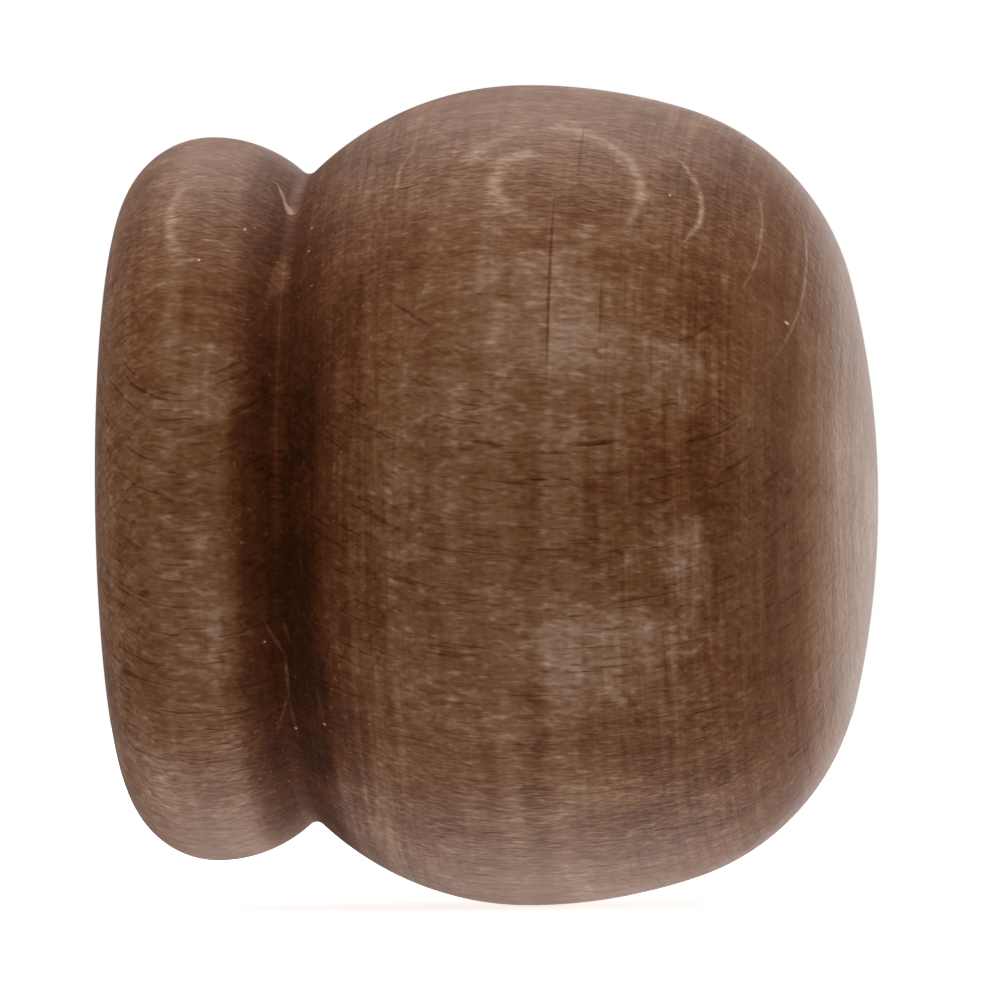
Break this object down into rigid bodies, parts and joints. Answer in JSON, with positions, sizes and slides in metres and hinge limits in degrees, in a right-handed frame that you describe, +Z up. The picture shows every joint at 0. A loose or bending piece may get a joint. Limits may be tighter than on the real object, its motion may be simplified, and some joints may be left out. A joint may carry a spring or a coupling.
{
  "type": "curtain pole finial",
  "caption": "Turned wooden ball finial with a ring collar and a groove; its blind back socket pushes over the end of a round curtain pole.",
  "frame": {"origin": "centre of the pole socket's mouth, in the plane of the flat back face", "axes": "+X along the turning axis, from the back face out through the ball; +Z up as the finial hangs on a level pole"},
  "size_m": [0.0457, 0.05, 0.05],
  "materials": {
    "stained_wood": "brown stained hardwood under a thin satin lacquer"
  },
  "bodies": {
    "root": {"finial_body": "stained_wood"}
  },
  "joints": []
}
